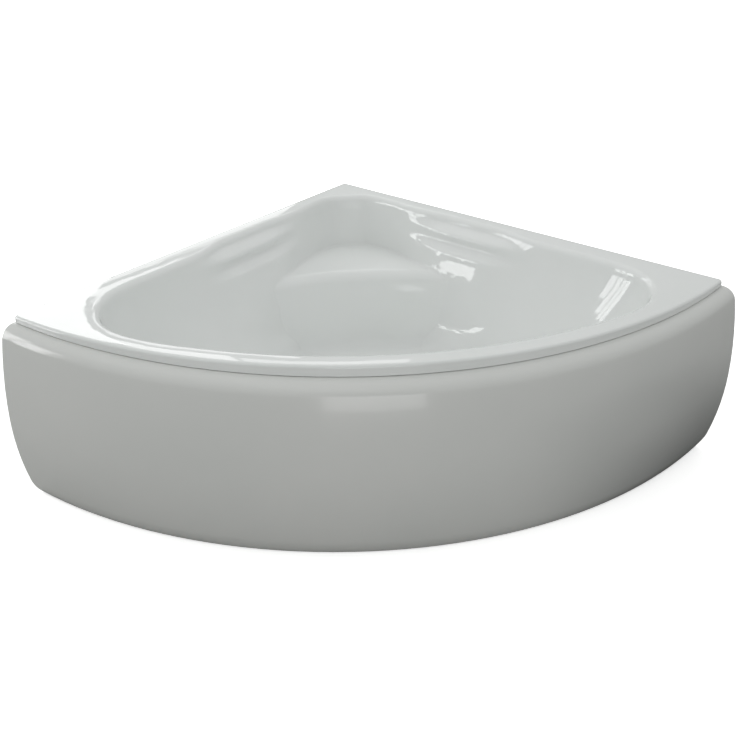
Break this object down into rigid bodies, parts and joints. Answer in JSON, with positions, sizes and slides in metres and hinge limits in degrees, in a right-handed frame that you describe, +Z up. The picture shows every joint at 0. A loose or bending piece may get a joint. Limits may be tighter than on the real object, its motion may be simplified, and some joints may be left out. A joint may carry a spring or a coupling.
{
  "type": "corner bathtub",
  "caption": "Quarter-round corner bathtub with a deep bowl, corner seat, small armrest ledges and a bowed front panel, on a levelling cradle with pop-up waste.",
  "frame": {"origin": "on the floor, at the middle of the footprint", "axes": "+Z up; the wall corner is at +Y with the walls at 45 degrees; the bowed front faces -Y; +X is to the right seen from the front"},
  "size_m": [2.0704, 1.4459, 0.565],
  "materials": {
    "tub_acrylic": "high gloss white sanitary acrylic",
    "panel_acrylic": "gloss white acrylic sheet",
    "timber": "planed softwood",
    "chipboard": "raw chipboard under resin",
    "zinc_steel": "zinc plated",
    "foot_plastic": "black moulded",
    "seal_rubber": "soft black",
    "chrome": "polished chrome",
    "stem_steel": "bright",
    "white_plastic": "moulded white",
    "grey_pipe": "smooth grey pipe",
    "cable_sheath": "black sheath"
  },
  "bodies": {
    "tub": {"tub_shell": "tub_acrylic", "front_panel": "panel_acrylic", "rim_batten_left": "timber", "rim_batten_right": "timber", "front_rim_board": "timber", "base_board": "chipboard", "rail_front": "zinc_steel", "rail_back": "zinc_steel", "rail_nuts": "zinc_steel", "lock_nuts": "zinc_steel", "rail_screws": "zinc_steel", "wall_hanger_clips": "zinc_steel", "panel_top_clips": "zinc_steel", "panel_clip_screws": "zinc_steel", "panel_stays": "zinc_steel", "panel_stay_screws": "zinc_steel", "waste_gasket_upper": "seal_rubber", "waste_gasket_lower": "seal_rubber", "trap_washer": "seal_rubber", "overflow_gasket": "seal_rubber", "waste_flange": "chrome", "overflow_face_plate": "chrome", "waste_body": "white_plastic", "trap_nut": "white_plastic", "trap_body": "white_plastic", "trap_cleaning_cap": "white_plastic", "trap_outlet_nut": "white_plastic", "overflow_body": "white_plastic", "pipe_nuts": "white_plastic", "overflow_pipe": "grey_pipe", "control_cable": "cable_sheath"},
    "foot_1": {"foot_stud_1": "zinc_steel", "foot_pad_1": "foot_plastic"},
    "foot_2": {"foot_stud_2": "zinc_steel", "foot_pad_2": "foot_plastic"},
    "foot_3": {"foot_stud_3": "zinc_steel", "foot_pad_3": "foot_plastic"},
    "foot_4": {"foot_stud_4": "zinc_steel", "foot_pad_4": "foot_plastic"},
    "knob": {"overflow_knob": "chrome"},
    "plug": {"plug_cap": "chrome", "plug_seal": "seal_rubber", "plug_stem": "stem_steel"}
  },
  "joints": [
    {"name": "foot_1_height", "type": "slide", "parent": "tub", "child": "foot_1", "axis": [0, 0, -1], "range_m": [-0.01, 0.015]},
    {"name": "foot_2_height", "type": "slide", "parent": "tub", "child": "foot_2", "axis": [0, 0, -1], "range_m": [-0.01, 0.015]},
    {"name": "foot_3_height", "type": "slide", "parent": "tub", "child": "foot_3", "axis": [0, 0, -1], "range_m": [-0.01, 0.015]},
    {"name": "foot_4_height", "type": "slide", "parent": "tub", "child": "foot_4", "axis": [0, 0, -1], "range_m": [-0.01, 0.015]},
    {"name": "knob_turn", "type": "hinge", "parent": "tub", "child": "knob", "pos_m": [0, -0.5786, 0.465], "axis": [0, 0.9817, 0.1905], "range_deg": [0, 90]},
    {"name": "plug_lift", "type": "slide", "parent": "tub", "child": "plug", "axis": [0, 0, 1], "range_m": [0, 0.01]}
  ],
  "couplings": [
    {"joint": "plug_lift", "follows": "knob_turn", "m_per_rad": 0.00636}
  ]
}
